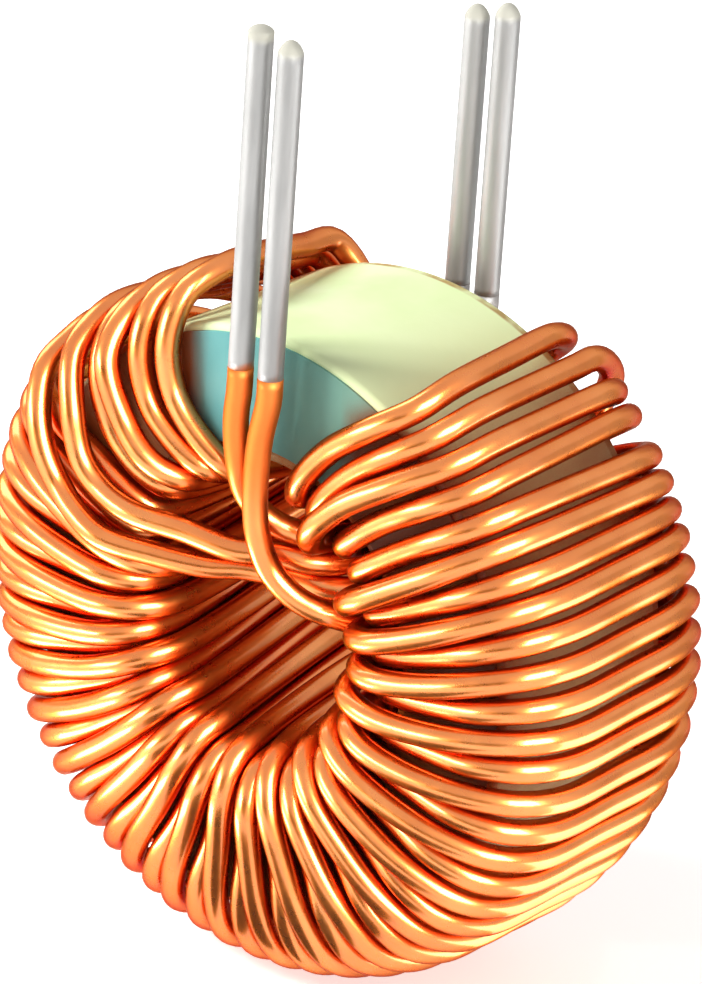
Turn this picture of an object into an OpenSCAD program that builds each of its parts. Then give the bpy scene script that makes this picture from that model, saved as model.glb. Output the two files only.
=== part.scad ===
// Toroidal inductor: powder core ring, two enamelled wires wound side by side, tinned ends.
// The ring stands on its rim. Y is the ring's axis, the coloured face looks along -Y,
// and the four ends point up along +Z. The origin is the middle of the ring.

/* [Core] */
// outer diameter of the bare core
core_od = 26.9; // [25:0.1:34]
// hole diameter of the bare core
core_id = 15; // [14.9:0.1:19]
// length of the core along its axis
core_h = 10.6; // [8:0.1:16]
// rounding of the core's edges at the hole
hole_edge_r = 0.8; // [0.3:0.1:1.5]
// rounding of the core's edges at the rim
rim_edge_r = 0.3; // [0.2:0.1:1]
// thickness of the coloured coat on the front face
coat_t = 0.12; // [0.08:0.01:0.12]

/* [Wire] */
// outside diameter of the enamelled wire
wire_d = 1.12; // [0.8:0.01:1.12]
// how far the wire bows clear of the core's rim
rim_bow = 1.74; // [1.6:0.01:2.2]
// sides of the wire's cross-section
wire_sides = 8; // [6:1:8]

/* [Wire ends] */
// distance between the two ends of a pair
lead_pitch = 1.65; // [1.6:0.05:2.4]
// sideways position of the middle of each pair
lead_mid = 0.2; // [0:0.05:0.4]
// distance of the front pair's middle from the front face of the bare core
front_lead_gap = 1.6; // [1.5:0.1:2.1]
// distance of the back pair's middle from the back face of the bare core
back_lead_gap = 2.0; // [1.9:0.1:2.7]
// diameter of a tinned end
tin_d = 1.1; // [0.75:0.01:1.1]
// drop of the tinning's lower edge below the top of the bare core
tin_drop = 1.05; // [0.5:0.05:1.5]
// tinned length of the front left end
tin_front_left = 15.2; // [8:0.1:24]
// tinned length of the front right end
tin_front_right = 15.0; // [8:0.1:24]
// tinned length of the back left end
tin_back_left = 12.8; // [8:0.1:24]
// tinned length of the back right end
tin_back_right = 13.3; // [8:0.1:24]
// height of a pointed tip
tip_h = 0.6; // [0.3:0.05:1]
// width and height of the small slope round the flat tip
tip_slope = 0.08; // [0.02:0.02:0.2]

/* [Hidden] */
wire_r = wire_d / 2;
tin_r = min(tin_d, wire_d) / 2;
half_h = core_h / 2;
core_r = core_od / 2;
hole_r = core_id / 2;
tin_z = core_r - tin_drop;
left_x = lead_mid - lead_pitch / 2;
right_x = lead_mid + lead_pitch / 2;
front_y = -half_h - front_lead_gap;
back_y = half_h + back_lead_gap;
last_turn = 53;
// colours
core_green = [0.80, 0.86, 0.62];
coat_blue = [0.42, 0.66, 0.70];
copper = [0.80, 0.38, 0.14];
tin = [0.78, 0.78, 0.77];

// The routes below are written for a 26.9 x 15 x 10.6 core and 1.12 wire.
// These two functions stretch a radius and a height onto the sizes set above.
function on_radius(r) = lookup(r, [[0, 0], [7.5, hole_r], [13.45, core_r],
    [15.75, core_r + rim_bow + wire_r], [60, core_r + rim_bow + wire_r + 44.25]]);
function on_height(y) = sign(y) * lookup(abs(y), [[0, 0], [5.3, half_h],
    [6.04, half_h + 0.18 + wire_r], [40, half_h + 0.18 + wire_r + 33.96]]);
// a route point is [angle from the top towards +X, radius, height along Y]
function place(q) = [on_radius(q[1]) * sin(q[0]), on_height(q[2]), on_radius(q[1]) * cos(q[0])];
// a point given across the face instead
function across(x, y, z) = [atan2(x, z), norm([x, z]), y];

// Angles of the passes, by pass number; even passes belong to strand A.
// Over the rim, at the front:
rim_fan = [[0, 31.6], [1, 37], [2, 42.4], [3, 47.6], [4, 52.9], [5, 57.6], [6, 63], [7, 67.9],
    [8, 73], [9, 78.6], [11, 89.8], [12, 94.9], [13, 101.2], [29, 194.7], [39, 246.8],
    [45, 276], [48, 293.3], [49, 299], [50, 323.4], [51, 328.4], [52, 335.8], [53, 343],
    [54, 310.5], [55, 318.5]];
// how much further round the same pass is at the back:
rim_skew = [[0, -2.2], [1, -1.2], [2, -0.8], [3, -1.5], [4, 0.4], [5, 0.2], [6, -0.6], [7, -1],
    [12, -1.4], [20, 0], [45, 0], [49, -0.5], [50, -4], [51, -4], [52, -6.1], [53, -8],
    [54, -2.5], [55, -5]];
// how far it reaches back before it bends:
rim_reach = [[0, 3.1], [1, 3.2], [2, 3.9], [3, 3.2], [4, 3.3], [5, 4.1], [6, 3.4], [7, 3.7],
    [8, 3.4], [49, 3.6], [50, 3.2], [53, 3.2], [54, 3.6], [55, 3.2]];
// its radius at the back bend and at the front bend:
rim_back = [[49, 15.75], [50, 14.6], [51, 14.4], [52, 14.4], [53, 14.8], [54, 15.4], [55, 14.8]];
rim_front = [[49, 15.75], [50, 15], [51, 15.15], [52, 15.25], [53, 15.45], [54, 15.5],
    [55, 15.35]];
// where it enters the hole at the front:
hole_fan = [[0, 15], [1, 24.9], [2, 30.5], [3, 39.8], [4, 49.8], [5, 58], [7, 71.5],
    [13, 108.3], [17, 129.3], [19, 139.3], [21, 149.4], [23, 159.8], [29, 190], [39, 241.4],
    [45, 273.4], [47, 283.5], [48, 289.2], [49, 300.5], [50, 314], [51, 324.8], [52, 335.2],
    [53, 345.6]];
// how far it advances through the hole:
hole_twist = [[0, 16], [4, 17], [49, 17], [50, 15], [51, 14], [52, 16], [53, 16]];
// the last passes bow sideways on the front face:
face_bow = [[49, 0], [50, -7.6], [51, -7.4], [52, -10.8], [53, -11.2]];
bow_share = [0.32, 0.72, 1, 0.66, 0.12, 0];

// Sections of a pass from the rim to the hole: [radius, height, share of the lean]
under = [[14.8, 5.4, 0.03], [12.9, 6.2, 0.25], [10.6, 6.17, 0.6], [8.5, 6.07, 0.88],
    [7.25, 5.67, 1], [6.84, 4.5, 1]];
over = [[14.8, 5.45, 0.03], [12.6, 6.6, 0.28], [9.8, 7.05, 0.7], [7.6, 7, 0.95],
    [6.3, 6.2, 1], [5.85, 4.7, 1]];
deep = [[14.8, 5.45, 0.03], [12.6, 6.6, 0.28], [9.8, 7.05, 0.7], [7.5, 7.1, 0.96],
    [5.95, 6.45, 1], [5.2, 4.9, 1]];
lifted = [[14.9, 5.65, 0.03], [13.15, 6.95, 0.25], [10.4, 7, 0.62], [8.35, 6.9, 0.9],
    [7.15, 6, 1], [6.85, 4.4, 1]];

function is_over(k) = k == 2 || (k >= 5 && k < 48 && k % 2 == 1);
function is_deep(k) = is_over(k) && k >= 11 && floor(k / 2) % 2 == 1;
function back_section(k) = is_deep(k) ? deep : is_over(k) ? over : under;
function front_section(k) = k == 51 ? lifted : back_section(k);
function front_angle(k) = lookup(k, rim_fan);
function back_angle(k) = front_angle(k) + lookup(k, rim_skew);
function mixed(a, b, t) = a + (b - a) * t;

function rim_pass(k) = let (f = front_angle(k), b = back_angle(k), near = lookup(k, rim_front),
    far = lookup(k, rim_back)) [
    [mixed(f, b, 0.85), far, lookup(k, rim_reach)],
    [mixed(f, b, 0.5), (near + far) / 2 + 0.15, 0],
    [mixed(f, b, 0.15), near, -3.6]];
function front_pass(k) = [for (i = [0:5]) let (s = front_section(k)[i])
    [mixed(front_angle(k), lookup(k, hole_fan), s[2]) + lookup(k, face_bow) * bow_share[i],
        min(s[0], lookup(k, rim_front) - 0.6), -s[1]]];
function back_pass(k) = [for (i = [5:-1:0]) let (s = back_section(k)[i])
    [mixed(back_angle(k + 2), lookup(k, hole_fan) + lookup(k, hole_twist), s[2]),
        min(s[0], lookup(k + 2, rim_back) - 0.3), s[1]]];
function turn(k) = concat(rim_pass(k), front_pass(k), k < last_turn - 1 ? back_pass(k) : []);
function turns(first) = [for (k = [first:2:last_turn]) for (q = turn(k)) q];

// Strand A starts at the front left end and dives through the hole to the back.
start_a = concat(
    [across(-0.72, -6.9, 9.9), across(-0.6, -6.75, 8.1), across(-0.42, -6.3, 6.5),
        across(0.35, -5.7, 5.4), across(1.4, -5, 4.9)],
    [[23.5, 4.85, -3.2], [19, 5.35, -0.4], [17, 6.1, 2.5], [16.5, 6.85, 4.4],
        [16.6, 7.12, 5.74], [18, 8.35, 6.04], [22, 11, 6.04], [27, 13.4, 6.04],
        [29, 14.8, 5]]);
// Strand B starts at the front right end and crosses the first turns at the back.
start_b = concat(
    [across(0.66, -6.9, 9.4), across(0.6, -6.9, 6.6), across(0.85, -6.85, 5.03),
        across(1.4, -6.5, 3.5), across(2.5, -6, 2.45), across(3.8, -5.1, 1.85)],
    [[74, 4.6, -3.2], [61, 4.6, 0.3], [48, 4.6, 3.8], [46.5, 4.62, 6.3], [45.2, 5.9, 8.08],
        [43, 8.2, 8.2], [40.3, 10.5, 7.65], [38.3, 12.3, 7.6], [36.9, 13.4, 7.4],
        [35.7, 14.8, 6], [35.6, 15.6, 4.5]]);
// The last turn of each strand crosses the gap at the back, over the turns beside it.
gap_a = [[-5, 6.85, 4.4], [-6, 7.12, 5.74], [-10.8, 7.9, 6.55], [-16, 8.7, 7.25],
    [-25, 9.7, 7.45], [-36, 10.8, 7.5], [-46, 12.1, 7.5], [-52, 13.5, 7],
    [-52.5, 14.75, 5.6]];
gap_b = [[5.5, 6.85, 4.4], [4.5, 7.12, 5.74], [1, 7.9, 6.04], [-5, 8.8, 6.07],
    [-10, 9.5, 6.6], [-16, 10.1, 7.2], [-26, 11.2, 7.5], [-38.5, 12.5, 7.55],
    [-43.1, 13.3, 7.45], [-45.8, 14.2, 6.75], [-45.9, 14.8, 5]];
// Then it sweeps over the face, across the hole and up behind.
end_a = concat(
    [[-51.5, 15.25, -4.9], [-54, 14.7, -6.5], [-58.5, 13.4, -7.4], [-63.5, 12, -7.65],
        [-67.5, 10.7, -7.6], [-69.5, 9.2, -7.85], [-70, 7.6, -7.88], [-64, 5.3, -6.9]],
    [across(-2.6, -6, 2.25), across(-1.2, -5.2, 2.4), across(0.9, -4.4, 2.4),
        across(2.8, -3.8, 2.35)],
    [[56.5, 4.65, -2.6], [43.8, 4.53, 0.8], [31, 4.65, 4.2]],
    [across(1.9, 6.3, 4.5), across(1.3, 7.2, 6.2), across(1.025, 7.3, 8.2)]);
end_b = concat(
    [[-43.3, 15.1, -5], [-46.3, 14.25, -6.5], [-51.5, 12.3, -7.25], [-58, 10.4, -7.35],
        [-59.5, 9, -7.3], [-56, 7.2, -7.3]],
    [across(-3.4, -6.6, 3.8), across(-0.9, -6, 3.55), across(0.6, -5.15, 3.7),
        across(1.9, -4.5, 3.5)],
    [[41, 4.65, -2.8], [28, 4.53, 0.7], [15, 4.65, 4.2]],
    [across(0.45, 6.5, 5.1), across(-0.35, 7.1, 6.5), across(-0.625, 7.3, 8.6)]);

// the straight foot of an end, from its tinning down
function foot(x, y) = [[x, y, tin_z], [x, y, tin_z - 1]];
function flipped(list) = [for (i = [len(list) - 1:-1:0]) list[i]];
function placed(list) = [for (q = list) place(q)];
path_a = concat(foot(left_x, front_y), placed(start_a), placed(turns(0)),
    placed(gap_a), placed(rim_pass(54)), placed(end_a), flipped(foot(right_x, back_y)));
path_b = concat(foot(right_x, front_y), placed(start_b), placed(turns(1)),
    placed(gap_b), placed(rim_pass(55)), placed(end_b), flipped(foot(left_x, back_y)));

function unit(v) = v / norm(v);
function square_to(v, t) = unit(v - (v * t) * t);
function tangents(p) = [for (i = [0:len(p) - 1])
    i == 0 ? unit(p[1] - p[0])
    : i == len(p) - 1 ? unit(p[i] - p[i - 1])
    : unit(unit(p[i + 1] - p[i]) + unit(p[i] - p[i - 1]))];
// sideways direction carried along the path without twisting
function sideways(t) = [for (i = 0, s = square_to([1, 0, 0], t[0]);
    i < len(t);
    i = i + 1, s = i < len(t) ? square_to(s, t[i]) : s) s];

// a round wire along a path, closed by flat ends
module wire(path) {
    n = len(path);
    m = wire_sides;
    t = tangents(path);
    s = sideways(t);
    rings = [for (i = [0:n - 1]) let (c = cross(t[i], s[i])) for (j = [0:m - 1])
        path[i] + wire_r * (cos(j * 360 / m) * s[i] + sin(j * 360 / m) * c)];
    sides = [for (i = [0:n - 2]) for (j = [0:m - 1]) let (a = i * m + j, b = i * m + (j + 1) % m)
        each [[a, a + m, b], [b, a + m, b + m]]];
    first = [for (j = [0:m - 1]) j];
    last = [for (j = [m - 1:-1:0]) (n - 1) * m + j];
    polyhedron(points = rings, faces = concat([first], sides, [last]));
}

// turns a profile drawn as [radius, length] about the ring's axis
module about_axis() {
    rotate([90, 0, 0])
        rotate_extrude($fn = 96)
            children();
}

// half of the core's cross-section, a rectangle with rounded corners
module core_section() {
    wall = core_r - hole_r;
    translate([hole_r, -half_h + hole_edge_r])
        square([wall / 2, core_h - 2 * hole_edge_r]);
    translate([hole_r + wall / 2, -half_h + rim_edge_r])
        square([wall / 2, core_h - 2 * rim_edge_r]);
    translate([hole_r + hole_edge_r, -half_h])
        square([wall - hole_edge_r - rim_edge_r, core_h]);
    for (y = [-1, 1]) {
        translate([hole_r + hole_edge_r, y * (half_h - hole_edge_r)])
            circle(r = hole_edge_r, $fn = 32);
        translate([core_r - rim_edge_r, y * (half_h - rim_edge_r)])
            circle(r = rim_edge_r, $fn = 24);
    }
}

module core_ring() {
    color(core_green)
        about_axis()
            core_section();
}

module face_coat() {
    color(coat_blue)
        about_axis()
            translate([hole_r + hole_edge_r, half_h])
                square([core_r - hole_r - hole_edge_r - rim_edge_r, coat_t]);
}

module strand_a() {
    color(copper)
        wire(path_a);
}

module strand_b() {
    color(copper)
        wire(path_b);
}

// outline of a pointed tip: [share of the radius, share of the height]
tip = [[1, 0], [0.9, 0.3], [0.72, 0.58], [0.48, 0.82], [0.25, 0.95], [0, 1]];

// tinned end, a straight bar whose tip tapers over the height h
module tinned_end(x, y, length, h, outline) {
    color(tin)
        translate([x, y, tin_z])
            rotate_extrude($fn = 48)
                polygon(concat([[0, 0], [tin_r, 0]],
                    [for (q = outline) [tin_r * q[0], length - h + h * q[1]]]));
}

module tinned_end_front_left() {
    flat = [[1, 0], [1 - tip_slope / tin_r, 1], [0, 1]];
    tinned_end(left_x, front_y, tin_front_left, tip_slope, flat);
}

module tinned_end_front_right() {
    tinned_end(right_x, front_y, tin_front_right, tip_h, tip);
}

module tinned_end_back_left() {
    tinned_end(left_x, back_y, tin_back_left, tip_h, tip);
}

module tinned_end_back_right() {
    tinned_end(right_x, back_y, tin_back_right, tip_h, tip);
}

core_ring();
face_coat();
strand_a();
strand_b();
tinned_end_front_left();
tinned_end_front_right();
tinned_end_back_left();
tinned_end_back_right();
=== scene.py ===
import math

import bpy
import numpy as np
from mathutils import Matrix, Vector


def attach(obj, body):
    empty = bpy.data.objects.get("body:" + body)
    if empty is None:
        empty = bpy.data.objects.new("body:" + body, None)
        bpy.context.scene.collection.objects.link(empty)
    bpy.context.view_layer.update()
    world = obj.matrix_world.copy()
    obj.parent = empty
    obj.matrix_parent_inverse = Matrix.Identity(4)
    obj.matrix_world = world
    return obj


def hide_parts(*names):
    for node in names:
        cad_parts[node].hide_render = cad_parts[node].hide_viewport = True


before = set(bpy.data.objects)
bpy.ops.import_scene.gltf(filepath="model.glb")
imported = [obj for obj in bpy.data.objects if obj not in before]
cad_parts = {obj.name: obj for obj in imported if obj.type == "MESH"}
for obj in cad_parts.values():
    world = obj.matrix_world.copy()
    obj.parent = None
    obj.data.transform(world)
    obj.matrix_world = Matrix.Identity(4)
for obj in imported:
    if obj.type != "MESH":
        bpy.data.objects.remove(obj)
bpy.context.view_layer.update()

mm = 0.001


cameraSetup = {
    "azimuth": 39.0,        # degrees round the ring from straight in front
    "elevation": 24.0,
    "roll": 3.95,           # the object leans this much anticlockwise in the frame
    "distance": 285.7,      # mm from the middle of the ring
    "pixelsPerMm": 23.1,    # at the middle of the ring
    "frame": (702, 984),
    "ringMiddle": (341.0, 592.6),      # its place in the frame
    "sensor": 36.0,
    "clip": (0.01, 10),     # m
}


def makeCamera(c):
    a, e, r = (math.radians(c[k]) for k in ("azimuth", "elevation", "roll"))
    back = Vector((math.sin(a) * math.cos(e), -math.cos(a) * math.cos(e), math.sin(e)))
    side = Vector((math.cos(a), math.sin(a), 0))
    up = back.cross(side)
    right = math.cos(r) * side + math.sin(r) * up
    top = -math.sin(r) * side + math.cos(r) * up
    width, height = c["frame"]
    across = (c["ringMiddle"][0] - width / 2) / c["pixelsPerMm"]
    above = (height / 2 - c["ringMiddle"][1]) / c["pixelsPerMm"]
    place = (back * c["distance"] - right * across - top * above) * mm
    data = bpy.data.cameras.new("productCamera")
    data.sensor_width = c["sensor"]
    data.lens = c["pixelsPerMm"] * c["distance"] / height * c["sensor"]
    data.clip_start, data.clip_end = c["clip"]
    camera = bpy.data.objects.new("productCamera", data)
    camera.matrix_world = Matrix((
        (right.x, top.x, back.x, place.x),
        (right.y, top.y, back.y, place.y),
        (right.z, top.z, back.z, place.z),
        (0, 0, 0, 1)))
    bpy.context.scene.collection.objects.link(camera)
    bpy.context.scene.camera = camera


makeCamera(cameraSetup)
print("camera in place")


# A route point is (angle from the top towards +X, radius, height along Y), in mm.

winding = {
    "wireRadius": 0.56,
    "lastTurn": 53,
    "rimHalf": 3.6,
    "rimBulge": 0.1,
    "rimAlong": (0.85, 0.5, 0.15),     # how far towards the back angle each rim point lies
    "frontDrop": 0.6,       # how much lower than its rim bend a pass stays on the face
    "backDrop": 0.3,
    "tinZ": 12.4,
    "leadX": (-0.625, 1.025),
    "frontLeadY": -6.9,
    "backLeadY": 7.3,
    # front angle over the rim, by pass number; even passes belong to strand A
    "rimFan": [(0, 31.6), (1, 37), (2, 42.4), (3, 47.6), (4, 52.9), (5, 57.6), (6, 63), (7, 67.9),
               (8, 73), (9, 78.6), (11, 89.8), (12, 94.9), (13, 101.2), (29, 194.7),
               (39, 246.8), (45, 276), (48, 293.3), (49, 299), (50, 323.4), (51, 328.4),
               (52, 335.8), (53, 343), (54, 310.5), (55, 318.5)],
    # how much further round the pass is at the back
    "rimSkew": [(0, -2.2), (1, -1.2), (2, -0.8), (3, -1.5), (4, 0.4), (5, 0.2), (6, -0.6),
                (7, -1), (12, -1.4), (20, 0), (45, 0), (49, -0.5), (50, -4), (51, -4),
                (52, -6.1), (53, -8), (54, -2.5), (55, -5)],
    # how far the pass reaches back before it bends, and its radius there
    "rimReach": [(0, 3.1), (1, 3.2), (2, 3.9), (3, 3.2), (4, 3.3), (5, 4.1), (6, 3.4), (7, 3.7),
                 (8, 3.4), (49, 3.6), (50, 3.2), (53, 3.2), (54, 3.6), (55, 3.2)],
    "rimBack": [(49, 15.75), (50, 14.6), (51, 14.4), (52, 14.4), (53, 14.8), (54, 15.4),
                (55, 14.8)],
    # radius at its front bend
    "rimFront": [(49, 15.75), (50, 15), (51, 15.15), (52, 15.25), (53, 15.45), (54, 15.5),
                 (55, 15.35)],
    # angle where it enters the hole
    "holeFan": [(0, 15), (1, 24.9), (2, 30.5), (3, 39.8), (4, 49.8), (5, 58), (7, 71.5),
                (13, 108.3), (17, 129.3), (19, 139.3), (21, 149.4), (23, 159.8), (29, 190),
                (39, 241.4), (45, 273.4), (47, 283.5),
                (48, 289.2), (49, 300.5), (50, 314), (51, 324.8), (52, 335.2), (53, 345.6)],
    # how far it advances through the hole
    "holeTwist": [(0, 16), (4, 17), (49, 17), (50, 15), (51, 14), (52, 16), (53, 16)],
    # sideways bow of the last passes on the front face
    "faceBow": [(49, 0), (50, -7.6), (51, -7.4), (52, -10.8), (53, -11.2)],
    "bowShare": [0.32, 0.72, 1, 0.66, 0.12, 0],
    # sections of a pass from the rim to the hole: radius, height, share of the lean
    "under": [(14.8, 5.4, 0.03), (12.9, 6.2, 0.25), (10.6, 6.17, 0.6), (8.5, 6.07, 0.88),
              (7.25, 5.67, 1), (6.84, 4.5, 1)],
    "over": [(14.8, 5.45, 0.03), (12.6, 6.6, 0.28), (9.8, 7.05, 0.7), (7.6, 7, 0.95),
             (6.3, 6.2, 1), (5.85, 4.7, 1)],
    "deep": [(14.8, 5.45, 0.03), (12.6, 6.6, 0.28), (9.8, 7.05, 0.7), (7.5, 7.1, 0.96),
             (5.95, 6.45, 1), (5.2, 4.9, 1)],
    "lifted": [(14.9, 5.65, 0.03), (13.15, 6.95, 0.25), (10.4, 7, 0.62), (8.35, 6.9, 0.9),
               (7.15, 6, 1), (6.85, 4.4, 1)],
    "sides": 20,
    "curvePerMm": 4,        # points on the smoothed route
    "step": 0.4,            # mm between rings of the tube
}


def lookup(x, table):
    return float(np.interp(x, [row[0] for row in table], [row[1] for row in table]))


def mixed(a, b, t):
    return a + (b - a) * t


def acrossFace(x, y, z):
    return (math.degrees(math.atan2(x, z)), math.hypot(x, z), y)


def isOver(k):
    return k == 2 or (5 <= k < 48 and k % 2 == 1)


def isDeep(k):
    return isOver(k) and k >= 11 and (k // 2) % 2 == 1


def backSection(k):
    return winding["deep" if isDeep(k) else "over" if isOver(k) else "under"]


def frontSection(k):
    return winding["lifted"] if k == 51 else backSection(k)


def frontAngle(k):
    return lookup(k, winding["rimFan"])


def backAngle(k):
    return frontAngle(k) + lookup(k, winding["rimSkew"])


def rimPass(k):
    w = winding
    front, back = frontAngle(k), backAngle(k)
    near, far = lookup(k, w["rimFront"]), lookup(k, w["rimBack"])
    atBack, atMiddle, atFront = (mixed(front, back, share) for share in w["rimAlong"])
    return [(atBack, far, lookup(k, w["rimReach"])),
            (atMiddle, (near + far) / 2 + w["rimBulge"], 0),
            (atFront, near, -w["rimHalf"])]


def frontPass(k):
    hole = lookup(k, winding["holeFan"])
    bow = lookup(k, winding["faceBow"])
    most = lookup(k, winding["rimFront"]) - winding["frontDrop"]
    return [(mixed(frontAngle(k), hole, lean) + bow * share, min(radius, most), -height)
            for (radius, height, lean), share in zip(frontSection(k), winding["bowShare"])]


def backPass(k):
    hole = lookup(k, winding["holeFan"]) + lookup(k, winding["holeTwist"])
    most = lookup(k + 2, winding["rimBack"]) - winding["backDrop"]
    return [(mixed(backAngle(k + 2), hole, lean), min(radius, most), height)
            for radius, height, lean in reversed(backSection(k))]


def turn(k):
    return rimPass(k) + frontPass(k) + (backPass(k) if k < winding["lastTurn"] - 1 else [])


def turns(first):
    return [q for k in range(first, winding["lastTurn"] + 1, 2) for q in turn(k)]


# strand A starts at the front left end and dives through the hole to the back
startA = [
    acrossFace(-0.72, -6.9, 9.9), acrossFace(-0.6, -6.75, 8.1), acrossFace(-0.42, -6.3, 6.5),
    acrossFace(0.35, -5.7, 5.4), acrossFace(1.4, -5, 4.9),
    (23.5, 4.85, -3.2), (19, 5.35, -0.4), (17, 6.1, 2.5), (16.5, 6.85, 4.4),
    (16.6, 7.12, 5.74), (18, 8.35, 6.04), (22, 11, 6.04), (27, 13.4, 6.04), (29, 14.8, 5)]
# strand B starts at the front right end and crosses the first turns at the back
startB = [
    acrossFace(0.66, -6.9, 9.4), acrossFace(0.6, -6.9, 6.6), acrossFace(0.85, -6.85, 5.03),
    acrossFace(1.4, -6.5, 3.5), acrossFace(2.5, -6, 2.45), acrossFace(3.8, -5.1, 1.85),
    (74, 4.6, -3.2), (61, 4.6, 0.3), (48, 4.6, 3.8), (46.5, 4.62, 6.3), (45.2, 5.9, 7.98),
    (43, 8.2, 8.09), (40.3, 10.5, 7.65), (38.3, 12.3, 7.6), (36.9, 13.4, 7.4),
    (35.7, 14.8, 6), (35.6, 15.6, 4.5)]
# the last turn of each strand crosses the gap at the back, over the turns beside it
gapA = [
    (-5, 6.85, 4.4), (-6, 7.12, 5.74), (-10.8, 7.9, 6.55), (-16, 8.7, 7.25), (-25, 9.7, 7.45),
    (-36, 10.8, 7.5), (-46, 12.1, 7.5), (-52, 13.5, 7), (-52.5, 14.75, 5.6)]
gapB = [
    (5.5, 6.85, 4.4), (4.5, 7.12, 5.74), (1, 7.9, 6.04), (-5, 8.8, 6.07), (-10, 9.5, 6.6),
    (-16, 10.1, 7.2), (-26, 11.2, 7.5), (-38.5, 12.5, 7.55), (-43.1, 13.3, 7.45),
    (-45.8, 14.2, 6.75), (-45.9, 14.8, 5)]
# then it sweeps over the face, across the hole and up behind
endA = [
    (-51.5, 15.25, -4.9), (-54, 14.7, -6.5), (-58.5, 13.4, -7.4), (-63.5, 12, -7.65),
    (-67.5, 10.7, -7.6), (-69.5, 9.2, -7.79), (-70, 7.6, -7.8), (-64, 5.3, -6.9),
    acrossFace(-2.6, -6, 2.25), acrossFace(-1.2, -5.2, 2.4), acrossFace(0.9, -4.4, 2.4),
    acrossFace(2.8, -3.8, 2.35),
    (56.5, 4.65, -2.6), (43.8, 4.53, 0.8), (31, 4.65, 4.2),
    acrossFace(1.9, 6.3, 4.5), acrossFace(1.3, 7.2, 6.2), acrossFace(1.025, 7.3, 8.2)]
endB = [
    (-43.3, 15.1, -5), (-46.3, 14.25, -6.5), (-51.5, 12.3, -7.25), (-58, 10.4, -7.35),
    (-59.5, 9, -7.3), (-56, 7.2, -7.3),
    acrossFace(-3.4, -6.6, 3.8), acrossFace(-0.9, -6, 3.55), acrossFace(0.6, -5.15, 3.7),
    acrossFace(1.9, -4.5, 3.5),
    (41, 4.65, -2.8), (28, 4.53, 0.7), (15, 4.65, 4.2),
    acrossFace(0.45, 6.5, 5.1), acrossFace(-0.35, 7.1, 6.5), acrossFace(-0.625, 7.3, 8.6)]


def foot(x, y):
    z = winding["tinZ"]
    return [(x, y, z), (x, y, z - 1)]


def placed(route):
    return [(rho * math.sin(math.radians(a)), y, rho * math.cos(math.radians(a)))
            for a, rho, y in route]


def strandPath(first):
    w = winding
    left, right = w["leadX"]
    if first == 0:
        head, start, gap, end, tail = left, startA, gapA, endA, right
    else:
        head, start, gap, end, tail = right, startB, gapB, endB, left
    route = start + turns(first) + gap + rimPass(first + 54) + end
    return np.array(foot(head, w["frontLeadY"]) + placed(route)
                    + foot(tail, w["backLeadY"])[::-1])


def smoothed(points, perMm):
    # one curve through all the points, even where they lie unevenly
    p = np.vstack([2 * points[0] - points[1], points, 2 * points[-1] - points[-2]])
    curve = []
    for i in range(1, len(p) - 2):
        p0, p1, p2, p3 = p[i - 1:i + 3]
        legs = (p1 - p0, p2 - p1, p3 - p2)
        t01, t12, t23 = (math.sqrt(np.linalg.norm(leg)) for leg in legs)
        m1 = p2 - p1 + t12 * ((p1 - p0) / t01 - (p2 - p0) / (t01 + t12))
        m2 = p2 - p1 + t12 * ((p3 - p2) / t23 - (p3 - p1) / (t12 + t23))
        count = max(2, int(np.linalg.norm(p2 - p1) * perMm))
        t = (np.arange(count) / count)[:, None]
        curve.append((2 * t**3 - 3 * t**2 + 1) * p1 + (t**3 - 2 * t**2 + t) * m1
                     + (3 * t**2 - 2 * t**3) * p2 + (t**3 - t**2) * m2)
    return np.vstack(curve + [p[-2]])


def evenly(curve, step):
    reach = np.concatenate([[0], np.cumsum(np.linalg.norm(np.diff(curve, axis=0), axis=1))])
    at = np.linspace(0, reach[-1], int(reach[-1] / step) + 1)
    return np.stack([np.interp(at, reach, curve[:, i]) for i in range(3)], 1)


def tubeMesh(name, path, radii, sides):
    # path in mm; radii is one radius for each point of it
    ahead = np.gradient(path, axis=0)
    ahead /= np.linalg.norm(ahead, axis=1)[:, None]
    side = np.array([1.0, 0, 0])
    rings = []
    turnBy = 2 * np.pi * np.arange(sides) / sides
    for p, t, r in zip(path, ahead, radii):
        side = side - side.dot(t) * t
        side /= np.linalg.norm(side)
        other = np.cross(t, side)
        rings.append(p + r * (np.cos(turnBy)[:, None] * side + np.sin(turnBy)[:, None] * other))
    verts = np.vstack(rings) * mm
    n = len(path)
    i = np.repeat(np.arange(n - 1), sides) * sides
    j = np.tile(np.arange(sides), n - 1)
    k = (j + 1) % sides
    quads = np.stack([i + j, i + k, i + sides + k, i + sides + j], 1).tolist()
    ends = [list(range(sides))[::-1], [(n - 1) * sides + s for s in range(sides)]]
    mesh = bpy.data.meshes.new(name)
    mesh.from_pydata(verts.tolist(), [], quads + ends)
    mesh.shade_smooth()
    return mesh


def makePiece(name, mesh, material, slotName, *nodes):
    piece = bpy.data.objects.new(name, mesh)
    bpy.context.scene.collection.objects.link(piece)
    mesh.materials.append(material)
    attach(piece, "root")
    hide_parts(*nodes)


def newMaterial(name):
    material = bpy.data.materials.new(name)
    material.use_nodes = True
    return material, material.node_tree.nodes, material.node_tree.links


def noiseOn(nodes, links, scale, detail, stretch=(1, 1, 1)):
    where = nodes.new("ShaderNodeTexCoord")
    mapping = nodes.new("ShaderNodeMapping")
    mapping.inputs["Scale"].default_value = stretch
    noise = nodes.new("ShaderNodeTexNoise")
    noise.inputs["Scale"].default_value = scale
    noise.inputs["Detail"].default_value = detail
    links.new(where.outputs["Object"], mapping.inputs["Vector"])
    links.new(mapping.outputs["Vector"], noise.inputs["Vector"])
    return noise.outputs["Fac"]


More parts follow.
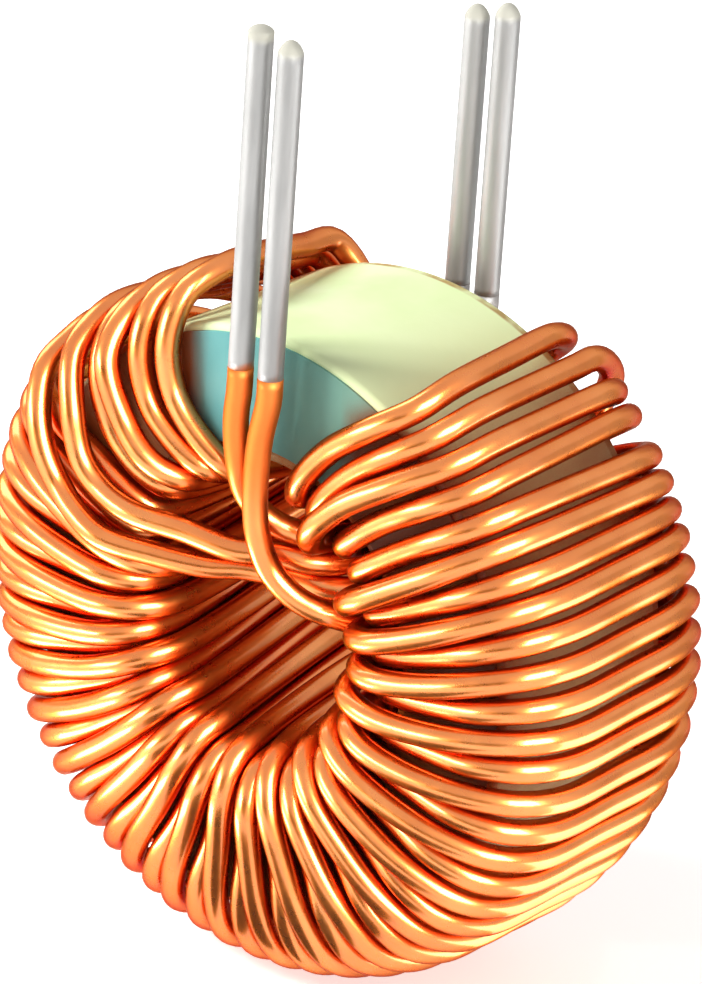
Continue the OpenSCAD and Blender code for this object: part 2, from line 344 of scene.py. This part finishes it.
def rampOn(nodes, links, source, stops):
    ramp = nodes.new("ShaderNodeValToRGB")
    elements = ramp.color_ramp.elements
    while len(elements) < len(stops):
        elements.new(0.5)
    for element, (place, color) in zip(elements, stops):
        element.position = place
        element.color = (*color, 1)
    links.new(source, ramp.inputs["Fac"])
    return ramp.outputs["Color"]


def rangeOn(nodes, links, source, low, high, fromLow=0, fromHigh=1):
    spread = nodes.new("ShaderNodeMapRange")
    spread.inputs["From Min"].default_value = fromLow
    spread.inputs["From Max"].default_value = fromHigh
    spread.inputs["To Min"].default_value = low
    spread.inputs["To Max"].default_value = high
    links.new(source, spread.inputs["Value"])
    return spread.outputs["Result"]


def mathOn(nodes, links, operation, a, b):
    # a and b are numbers or sockets
    node = nodes.new("ShaderNodeMath")
    node.operation = operation
    for socket, value in zip(node.inputs, (a, b)):
        if isinstance(value, (int, float)):
            socket.default_value = value
        else:
            links.new(value, socket)
    return node.outputs["Value"]


def placeOn(nodes, links):
    # X, Y and Z in metres
    where = nodes.new("ShaderNodeTexCoord")
    split = nodes.new("ShaderNodeSeparateXYZ")
    links.new(where.outputs["Object"], split.inputs["Vector"])
    return split.outputs["X"], split.outputs["Y"], split.outputs["Z"]


def openOn(nodes, reach, samples=8):
    # 0 in a gap between wires, 1 out in the open
    shade = nodes.new("ShaderNodeAmbientOcclusion")
    shade.samples = samples
    shade.inputs["Distance"].default_value = reach * mm
    return shade.outputs["AO"]


def zoneOn(nodes, links, zone):
    # 1 inside a zone, which gives the places in mm along each axis where it's out and full
    places = dict(zip("xyz", placeOn(nodes, links)))
    places["x"] = mathOn(nodes, links, "ABSOLUTE", places["x"], 0)
    first, *others = [rangeOn(nodes, links, places[axis], 0, 1, out * mm, full * mm)
                      for axis, (out, full) in zone.items()]
    for part in others:
        first = mathOn(nodes, links, "MULTIPLY", first, part)
    return first


def blendOn(nodes, links, factor, low, high):
    # low and high are colours or sockets
    blend = nodes.new("ShaderNodeMix")
    blend.data_type = "RGBA"
    links.new(factor, blend.inputs["Factor"])
    for name, value in (("A", low), ("B", high)):
        if isinstance(value, tuple):
            blend.inputs[name].default_value = (*value, 1)
        else:
            links.new(value, blend.inputs[name])
    return blend.outputs["Result"]


def bumpOn(nodes, links, source, strength, height):
    bump = nodes.new("ShaderNodeBump")
    bump.inputs["Strength"].default_value = strength
    bump.inputs["Distance"].default_value = height * mm
    links.new(source, bump.inputs["Height"])
    return bump.outputs["Normal"]


enamel = {
    "colors": [(0.34, (0.70, 0.185, 0.028)), (0.5, (0.75, 0.22, 0.038)), (0.66, (0.80, 0.26, 0.056))],
    # painted shade: the deep red the copper turns between the wires, where shade falls
    "gap": (0.84, 0.12, 0.012),
    "gapShadeReach": 0.9,
    "gapShadeRange": (0.1, 0.75),
    # the two front leads, where tinning has bleached the enamel
    "lead": (0.64, 0.185, 0.04),
    "leadZone": {"x": (2, 1.7), "y": (-4.5, -5.5), "z": (4.5, 8.5)},
    # the feet of the back leads, where the tin has run down
    "run": (0.42, 0.417, 0.408),
    "runZone": {"x": (2.1, 1.9), "y": (6.3, 6.5), "z": (10.9, 11.2)},
    "metallic": (1.0, 0.5),        # copper, tin
    "roughness": (0.26, 0.32, 0.3, 0.7),   # low and high, over this range of the noise
    "bareRoughness": 0.25,         # more without enamel
    "edgeTint": (0.4, 0.16, 0.07),
    "coat": (1.0, 0.1),            # seen head on, at a wire's outline
    "coatTilt": (0.25, 0.75),      # how far turned away it starts and ends to fade
    "coatIor": 1.55,
    "coatRoughness": 0.14,
    "mottleScale": 260,
    "fineScale": 1900,
}


def enamelledCopper(e):
    material, nodes, links = newMaterial("enamelledCopper")
    shader = nodes["Principled BSDF"]
    color = rampOn(nodes, links, noiseOn(nodes, links, e["mottleScale"], 3), e["colors"])
    # painted shade: blends towards the gap colour where neighbouring wires hem a point in
    clear = rangeOn(nodes, links, openOn(nodes, e["gapShadeReach"]), 0, 1, *e["gapShadeRange"])
    color = blendOn(nodes, links, clear, e["gap"], color)
    lead, run = zoneOn(nodes, links, e["leadZone"]), zoneOn(nodes, links, e["runZone"])
    color = blendOn(nodes, links, lead, color, e["lead"])
    links.new(blendOn(nodes, links, run, color, e["run"]), shader.inputs["Base Color"])
    links.new(rangeOn(nodes, links, run, *e["metallic"]), shader.inputs["Metallic"])
    bare = mathOn(nodes, links, "MAXIMUM", lead, run)
    rough = rangeOn(nodes, links, noiseOn(nodes, links, e["fineScale"], 4), *e["roughness"])
    duller = mathOn(nodes, links, "MULTIPLY", bare, e["bareRoughness"])
    links.new(mathOn(nodes, links, "ADD", rough, duller), shader.inputs["Roughness"])
    tilt = nodes.new("ShaderNodeLayerWeight")
    glossy = rangeOn(nodes, links, tilt.outputs["Facing"], *e["coat"], *e["coatTilt"])
    coated = mathOn(nodes, links, "SUBTRACT", 1, bare)
    links.new(mathOn(nodes, links, "MULTIPLY", coated, glossy), shader.inputs["Coat Weight"])
    shader.inputs["Coat IOR"].default_value = e["coatIor"]
    shader.inputs["Coat Roughness"].default_value = e["coatRoughness"]
    shader.inputs["Specular Tint"].default_value = (*e["edgeTint"], 1)
    return material


tinning = {
    "colors": [(0.35, (0.35, 0.348, 0.341)), (0.65, (0.43, 0.427, 0.419))],
    "tip": (0.47, 0.46, 0.40),
    "tipFrom": (0.75, 0.45),       # mm below the top, where its colour starts and is full
    "tipRoughness": 0.3,           # more than the tin below it
    "copper": (0.72, 0.22, 0.046),
    "edgeTint": (0.45, 0.45, 0.44),
    "metallic": 0.5,
    "roughness": (0.42, 0.5, 0.3, 0.7),
    "streakScale": 1500,
    "streakStretch": (1, 1, 0.12),
    "bump": 0.12,
    "bumpHeight": 0.03,            # mm
    "blur": 0.2,                   # mm over which tin gives way to copper
    "wobble": 0.3,                 # mm
    "wobbleScale": 1400,
}


def tinnedCopper(name, t, end):
    # bare tin above the stripped edge, bright copper below it
    material, nodes, links = newMaterial(name)
    shader = nodes["Principled BSDF"]
    streaks = noiseOn(nodes, links, t["streakScale"], 3, t["streakStretch"])
    x, _, z = placeOn(nodes, links)
    wobble = mathOn(nodes, links, "MULTIPLY", noiseOn(nodes, links, t["wobbleScale"], 2),
                    t["wobble"] * mm)
    slope = mathOn(nodes, links, "MULTIPLY", x, end["slant"])
    height = mathOn(nodes, links, "ADD", mathOn(nodes, links, "SUBTRACT", z, slope), wobble)
    isTin = rangeOn(nodes, links, height, 0, 1,
                    (end["edge"] - t["blur"]) * mm, (end["edge"] + t["blur"]) * mm)
    top = winding["tinZ"] + end["length"]
    isTip = rangeOn(nodes, links, z, 0, 1, *((top - below) * mm for below in t["tipFrom"]))
    color = blendOn(nodes, links, isTip, rampOn(nodes, links, streaks, t["colors"]), t["tip"])
    links.new(blendOn(nodes, links, isTin, t["copper"], color), shader.inputs["Base Color"])
    rough = rangeOn(nodes, links, streaks, *t["roughness"])
    duller = mathOn(nodes, links, "MULTIPLY", isTip, t["tipRoughness"])
    links.new(mathOn(nodes, links, "ADD", rough, duller), shader.inputs["Roughness"])
    links.new(bumpOn(nodes, links, streaks, t["bump"], t["bumpHeight"]), shader.inputs["Normal"])
    shader.inputs["Metallic"].default_value = t["metallic"]
    shader.inputs["Specular Tint"].default_value = (*t["edgeTint"], 1)
    return material


paint = {
    "green": {
        "colors": [(0.35, (0.60, 0.76, 0.38)), (0.5, (0.69, 0.83, 0.47)), (0.68, (0.77, 0.89, 0.57))],
        # painted light: the green made lighter towards the right, where the lamp gives less
        "right": (0.88, 0.98, 0.55),
        "shade": (0.40, 0.10, 0.014),
        "shadeReach": 3,
        "shadeRange": (0.22, 0.6),
        # the stretch without wire, which gets no painted shade
        "bareZone": {"x": (9.5, 8.5), "z": (11.2, 12.4)},
    },
    "blue": {
        "colors": [(0.35, (0.09, 0.31, 0.31)), (0.5, (0.12, 0.37, 0.37)), (0.68, (0.17, 0.43, 0.42))],
        # a greener blue towards the right
        "right": (0.20, 0.38, 0.28),
        "shade": (0.22, 0.06, 0.014),
        "shadeReach": 2.4,
        "shadeRange": (0.45, 0.9),
        "bareZone": {"x": (4.7, 3.7), "z": (4, 6)},
    },
    "rightFrom": (-2, 4),          # mm along X, where the colour on the right comes in
    "rightShare": 0.8,
    "stain": (0.42, 0.25, 0.07),
    "stainFrom": (4.7, 4.8),       # mm along Y, a thin worn line at the back edge
    "stainShare": 0.9,
    "stainPatches": (0.25, 1, 0.4, 0.6),   # low and high, over this range of the noise
    "stainScale": 700,
    "blotchScale": 180,
    "grainScale": 1600,
    "roughness": (0.5, 0.65, 0.3, 0.7),
    "gloss": 0.12,
    "bump": 0.25,
    "bumpHeight": 0.05,            # mm
}


def corePaint(name, c, p):
    material, nodes, links = newMaterial(name)
    shader = nodes["Principled BSDF"]
    grain = noiseOn(nodes, links, p["grainScale"], 5)
    x, y, _ = placeOn(nodes, links)
    color = rampOn(nodes, links, noiseOn(nodes, links, p["blotchScale"], 5), c["colors"])
    # the lighter green on the right is painted light; the blue only turns greener there
    onRight = rangeOn(nodes, links, x, 0, p["rightShare"], *(at * mm for at in p["rightFrom"]))
    color = blendOn(nodes, links, onRight, color, c["right"])
    atEdge = rangeOn(nodes, links, y, 0, p["stainShare"], *(at * mm for at in p["stainFrom"]))
    patches = rangeOn(nodes, links, noiseOn(nodes, links, p["stainScale"], 3), *p["stainPatches"])
    worn = mathOn(nodes, links, "MULTIPLY", atEdge, patches)
    color = blendOn(nodes, links, worn, color, p["stain"])
    # painted shade: towards the shade colour between and under the wires, but not in the bare zone
    clear = rangeOn(nodes, links, openOn(nodes, c["shadeReach"]), 0, 1, *c["shadeRange"])
    clear = mathOn(nodes, links, "MAXIMUM", clear, zoneOn(nodes, links, c["bareZone"]))
    links.new(blendOn(nodes, links, clear, c["shade"], color), shader.inputs["Base Color"])
    links.new(rangeOn(nodes, links, grain, *p["roughness"]), shader.inputs["Roughness"])
    links.new(bumpOn(nodes, links, grain, p["bump"], p["bumpHeight"]), shader.inputs["Normal"])
    shader.inputs["Specular IOR Level"].default_value = p["gloss"]
    return material


def dress(nodeName, material):
    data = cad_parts[nodeName].data
    data.materials.clear()
    data.materials.append(material)


copper = enamelledCopper(enamel)
dress("core_ring", corePaint("greenPaint", paint["green"], paint))
dress("face_coat", corePaint("bluePaint", paint["blue"], paint))
print("core painted")

for first, name, node in ((0, "strandA", "strand_a"), (1, "strandB", "strand_b")):
    path = evenly(smoothed(strandPath(first), winding["curvePerMm"]), winding["step"])
    radii = [winding["wireRadius"]] * len(path)
    mesh = tubeMesh(name, path, radii, winding["sides"])
    makePiece(name, mesh, copper, "enamelled_copper", node)
    print(name, "wound,", len(path), "rings")

tinnedEnds = {
    "radius": 0.55,
    "sides": 32,
    "rings": 39,            # on the straight part
    # outline of a tip: share of the radius, share of the height
    "tip": [(1, 0), (0.97, 0.12), (0.9, 0.3), (0.72, 0.58), (0.48, 0.82), (0.25, 0.95), (0.01, 1)],
    "ends": [
        {"name": "tinnedEndFrontLeft", "node": "tinned_end_front_left", "x": 0, "y": "frontLeadY",
         "length": 15.2, "tipHeight": 0.28, "edge": 12.85, "slant": 0.55},
        {"name": "tinnedEndFrontRight", "node": "tinned_end_front_right", "x": 1, "y": "frontLeadY",
         "length": 15.0, "tipHeight": 0.6, "edge": 12.4, "slant": 0},
        {"name": "tinnedEndBackLeft", "node": "tinned_end_back_left", "x": 0, "y": "backLeadY",
         "length": 12.8, "tipHeight": 0.6, "edge": 12.4, "slant": 0},
        {"name": "tinnedEndBackRight", "node": "tinned_end_back_right", "x": 1, "y": "backLeadY",
         "length": 13.3, "tipHeight": 0.6, "edge": 12.4, "slant": 0},
    ],
}


def makeTinnedEnd(end, t):
    w = winding
    x, y = w["leadX"][end["x"]], w[end["y"]]
    straight = end["length"] - end["tipHeight"]
    heights = list(np.linspace(0, straight, t["rings"], endpoint=False))
    radii = [t["radius"]] * t["rings"]
    for share, rise in t["tip"]:
        heights.append(straight + rise * end["tipHeight"])
        radii.append(share * t["radius"])
    path = np.array([(x, y, w["tinZ"] + h) for h in heights])
    mesh = tubeMesh(end["name"], path, radii, t["sides"])
    material = tinnedCopper(end["name"], tinning, end)
    makePiece(end["name"], mesh, material, "tinned_copper", end["node"])


for end in tinnedEnds["ends"]:
    makeTinnedEnd(end, tinnedEnds)
print("ends tinned")


studio = {
    "floorZ": -16.44,       # mm, the lowest wire
    "floorSize": 0.9,       # m
    "floorColor": (0.9, 0.9, 0.9),
    "floorRoughness": 0.9,
    "floorGloss": 0.1,
    "floorGlow": 0.6,
    "worldStrength": 0.47,
    "lamps": [
        # place and target in mm, size in mm, radiance, colour
        ("keyLamp", (-188, -160, 172), (0, 0, 0), (140, 140), 21.5, (1, 0.99, 0.97)),
    ],
    # cards seen only in reflections: from and to degrees round, from and to degrees up, glow
    "cards": [
        (-58, -22, -40, -27, 18),       # bright bands on the inner bends
        (-54, -20, -1, 12, 16),
        (44, 84, 12, 44, 18),           # bright bands on the outer bends
        (-108, -80, 12, 52, 6),         # left side
        (90, 132, -52, -8, 6),          # right side
        (-14, 24, -2, 16, 0),           # dark between the bands
        (-4, 36, -65, -28, 0),
        (-176, -118, -50, 25, 0.55),    # dimmer behind
        (134, 162, -40, 25, 0.55),
    ],
    "cardDistance": 350,
    "cardLift": 0.1,        # mm off the floor, for those that would reach below it
    "cardGrid": (12, 16),
    "cardColor": (0.12, 0.11, 0.10),
}


def whiteRays(nodes, links):
    # 1 for what the camera sees, straight, mirrored in the metal or through it
    rays = nodes.new("ShaderNodeLightPath")
    white = rays.outputs["Is Camera Ray"]
    for name in ("Is Glossy Ray", "Is Transmission Ray"):
        white = mathOn(nodes, links, "MAXIMUM", white, rays.outputs[name])
    return white


def cardPoint(round, up, s):
    # below the horizon the card lies on the floor
    a, e = math.radians(round), math.radians(up)
    reach, height = s["cardDistance"] * math.cos(e), s["cardDistance"] * math.sin(e)
    lowest = s["floorZ"] + s["cardLift"]
    if height < lowest:
        reach, height = lowest / math.tan(e), lowest
    return (reach * math.sin(a) * mm, -reach * math.cos(a) * mm, height * mm)


def makeCards(s):
    across, along = s["cardGrid"]
    for i, (first, last, low, high, glow) in enumerate(s["cards"]):
        verts = [cardPoint(a, e, s) for a in np.linspace(first, last, across + 1)
                 for e in np.linspace(low, high, along + 1)]
        quads = [(j, j + along + 1, j + along + 2, j + 1)
                 for j in range(across * (along + 1)) if (j + 1) % (along + 1)]
        mesh = bpy.data.meshes.new(f"card{i}")
        mesh.from_pydata(verts, [], quads)
        material, nodes, links = newMaterial(f"card{i}")
        shader = nodes["Principled BSDF"]
        shader.inputs["Base Color"].default_value = (*s["cardColor"], 1)
        shader.inputs["Roughness"].default_value = 1.0
        shader.inputs["Specular IOR Level"].default_value = 0
        shader.inputs["Emission Color"].default_value = (1, 1, 1, 1)
        shader.inputs["Emission Strength"].default_value = glow
        mesh.materials.append(material)
        card = bpy.data.objects.new(f"card{i}", mesh)
        bpy.context.scene.collection.objects.link(card)
        card.visible_camera = False
        card.visible_diffuse = False
        card.visible_shadow = False
        card.visible_transmission = False


def makeFloor(s):
    half = s["floorSize"] / 2
    z = s["floorZ"] * mm
    mesh = bpy.data.meshes.new("floor")
    mesh.from_pydata([(-half, -half, z), (half, -half, z), (half, half, z), (-half, half, z)],
                     [], [(0, 1, 2, 3)])
    floor = bpy.data.objects.new("floor", mesh)
    bpy.context.scene.collection.objects.link(floor)
    material, nodes, links = newMaterial("floorPaper")
    shader = nodes["Principled BSDF"]
    shader.inputs["Base Color"].default_value = (*s["floorColor"], 1)
    shader.inputs["Roughness"].default_value = s["floorRoughness"]
    shader.inputs["Specular IOR Level"].default_value = s["floorGloss"]
    shader.inputs["Emission Color"].default_value = (1, 1, 1, 1)
    glow = mathOn(nodes, links, "MULTIPLY", whiteRays(nodes, links), s["floorGlow"])
    links.new(glow, shader.inputs["Emission Strength"])
    mesh.materials.append(material)


def makeWorld(s):
    world = bpy.data.worlds.new("studio")
    bpy.context.scene.world = world
    world.use_nodes = True
    nodes, links = world.node_tree.nodes, world.node_tree.links
    background = nodes["Background"]
    background.inputs["Color"].default_value = (1, 1, 1, 1)
    strength = rangeOn(nodes, links, whiteRays(nodes, links), s["worldStrength"], 1)
    links.new(strength, background.inputs["Strength"])


def makeLamps(s):
    for name, place, target, size, radiance, color in s["lamps"]:
        data = bpy.data.lights.new(name, "AREA")
        data.shape = "RECTANGLE"
        data.size, data.size_y = size[0] * mm, size[1] * mm
        data.energy = radiance * math.pi * data.size * data.size_y
        data.color = color
        lamp = bpy.data.objects.new(name, data)
        lamp.visible_glossy = False
        lamp.location = Vector(place) * mm
        lamp.rotation_euler = (Vector(target) - Vector(place)).to_track_quat("-Z", "Y").to_euler()
        bpy.context.scene.collection.objects.link(lamp)


makeFloor(studio)
makeWorld(studio)
makeLamps(studio)
makeCards(studio)
bpy.context.scene.view_settings.view_transform = "Standard"
print("studio lit")
